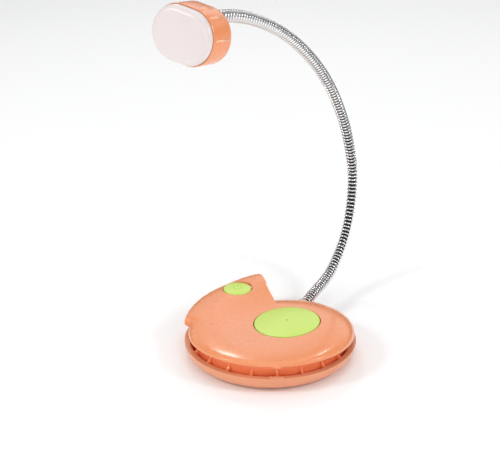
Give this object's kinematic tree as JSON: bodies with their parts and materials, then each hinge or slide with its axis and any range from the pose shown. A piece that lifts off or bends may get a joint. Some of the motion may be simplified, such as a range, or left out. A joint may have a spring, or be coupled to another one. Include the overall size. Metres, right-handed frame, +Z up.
{
  "type": "clip-on reading lamp",
  "caption": "Clip-on reading lamp: round spring clip base with a spiral upper jaw and power button, flexible metal neck and a small oval lamp head.",
  "frame": {"origin": "centre of the lower jaw's flat round underside, which rests on a surface", "axes": "+Z up, -Y towards the clip's mouth, +X right when facing the mouth"},
  "size_m": [0.085, 0.158, 0.1725],
  "materials": {
    "coral_plastic": "gloss",
    "lime_plastic": "gloss",
    "grip_rubber": "matt",
    "steel": "plated",
    "cell_steel": "polished",
    "contact_metal": "plated",
    "board": "solder mask",
    "switch_plastic": "matt",
    "collar_metal": "turned",
    "frosted_lens": "frosted",
    "white_plastic": "gloss",
    "led": "phosphor",
    "chrome_coil": "polished",
    "lead_plastic": "insulation"
  },
  "bodies": {
    "lower_jaw": {"lower_shell": "coral_plastic", "battery_door": "coral_plastic", "door_screw": "steel", "coin_cells": "cell_steel", "contact_plus": "contact_metal", "contact_minus": "contact_metal", "cell_link": "contact_metal", "jaw_cover": "coral_plastic", "grip_pad_lower": "grip_rubber", "hinge_pin": "steel", "hinge_spring": "steel"},
    "upper_jaw": {"upper_shell": "coral_plastic", "centre_cap": "lime_plastic", "upper_plate": "coral_plastic", "plate_screws": "steel", "grip_pad_upper": "grip_rubber", "switch_cover": "coral_plastic", "circuit_board": "board", "tact_switch": "switch_plastic", "neck_collar": "collar_metal", "neck_1": "chrome_coil", "neck_leads_1": "lead_plastic"},
    "button": {"power_button": "lime_plastic"},
    "neck_link_2": {"neck_2": "chrome_coil", "neck_leads_2": "lead_plastic"},
    "neck_link_3": {"neck_3": "chrome_coil", "neck_leads_3": "lead_plastic"},
    "neck_link_4": {"neck_4": "chrome_coil", "neck_leads_4": "lead_plastic"},
    "neck_link_5": {"neck_5": "chrome_coil", "neck_leads_5": "lead_plastic"},
    "neck_link_6": {"neck_6": "chrome_coil", "neck_leads_6": "lead_plastic"},
    "neck_link_7": {"neck_7": "chrome_coil", "neck_leads_7": "lead_plastic"},
    "neck_link_8": {"neck_8": "chrome_coil", "neck_leads_8": "lead_plastic"},
    "neck_link_9": {"neck_9": "chrome_coil", "neck_leads_9": "lead_plastic"},
    "neck_link_10": {"neck_10": "chrome_coil", "neck_leads_10": "lead_plastic"},
    "head": {"neck_11": "chrome_coil", "neck_leads_11": "lead_plastic", "head_housing": "coral_plastic", "head_collar": "collar_metal", "head_lens": "frosted_lens", "head_reflector": "white_plastic", "led_board": "board", "leds": "led"}
  },
  "joints": [
    {"name": "clip_hinge", "type": "hinge", "parent": "lower_jaw", "child": "upper_jaw", "pos_m": [0, 0.024, 0.008], "axis": [-1, 0, 0], "range_deg": [0, 11], "stiffness_Nm_per_rad": 0.25, "springref_deg": -68.75, "deforming": ["hinge_spring"]},
    {"name": "button_press", "type": "slide", "parent": "upper_jaw", "child": "button", "axis": [0, 0, -1], "range_m": [0, 0.0006], "stiffness_N_per_m": 600, "springref_m": -0.0005},
    {"name": "neck_bend_1", "type": "hinge", "parent": "upper_jaw", "child": "neck_link_2", "pos_m": [0.0291, 0.05721, 0.01359], "axis": [-0.908, 0.419, 0], "range_deg": [-20, 20]},
    {"name": "neck_sway_2", "type": "hinge", "parent": "neck_link_2", "child": "neck_link_3", "pos_m": [0.03738, 0.07516, 0.02854], "axis": [0.3486, 0.7554, -0.5548], "range_deg": [-20, 20]},
    {"name": "neck_bend_3", "type": "hinge", "parent": "neck_link_3", "child": "neck_link_4", "pos_m": [0.03998, 0.08079, 0.05253], "axis": [-0.908, 0.419, 0], "range_deg": [-16, 20]},
    {"name": "neck_sway_4", "type": "hinge", "parent": "neck_link_4", "child": "neck_link_5", "pos_m": [0.03663, 0.07354, 0.07599], "axis": [0.3753, 0.8133, 0.4446], "range_deg": [-20, 20]},
    {"name": "neck_bend_5", "type": "hinge", "parent": "neck_link_5", "child": "neck_link_6", "pos_m": [0.03082, 0.06096, 0.09653], "axis": [-0.908, 0.419, 0], "range_deg": [-20, 20]},
    {"name": "neck_sway_6", "type": "hinge", "parent": "neck_link_6", "child": "neck_link_7", "pos_m": [0.02361, 0.04533, 0.11436], "axis": [0.2793, 0.6052, 0.7455], "range_deg": [-20, 20]},
    {"name": "neck_bend_7", "type": "hinge", "parent": "neck_link_7", "child": "neck_link_8", "pos_m": [0.01539, 0.0275, 0.12948], "axis": [-0.908, 0.419, 0], "range_deg": [-20, 20]},
    {"name": "neck_sway_8", "type": "hinge", "parent": "neck_link_8", "child": "neck_link_9", "pos_m": [0.0065, 0.00824, 0.14228], "axis": [0.1957, 0.4242, 0.8842], "range_deg": [-20, 20]},
    {"name": "neck_bend_9", "type": "hinge", "parent": "neck_link_9", "child": "neck_link_10", "pos_m": [-0.00294, -0.01222, 0.15259], "axis": [-0.908, 0.419, 0], "range_deg": [-20, 20]},
    {"name": "neck_sway_10", "type": "hinge", "parent": "neck_link_10", "child": "head", "pos_m": [-0.01279, -0.03356, 0.16045], "axis": [0.1074, 0.2327, 0.9666], "range_deg": [-20, 20]}
  ]
}
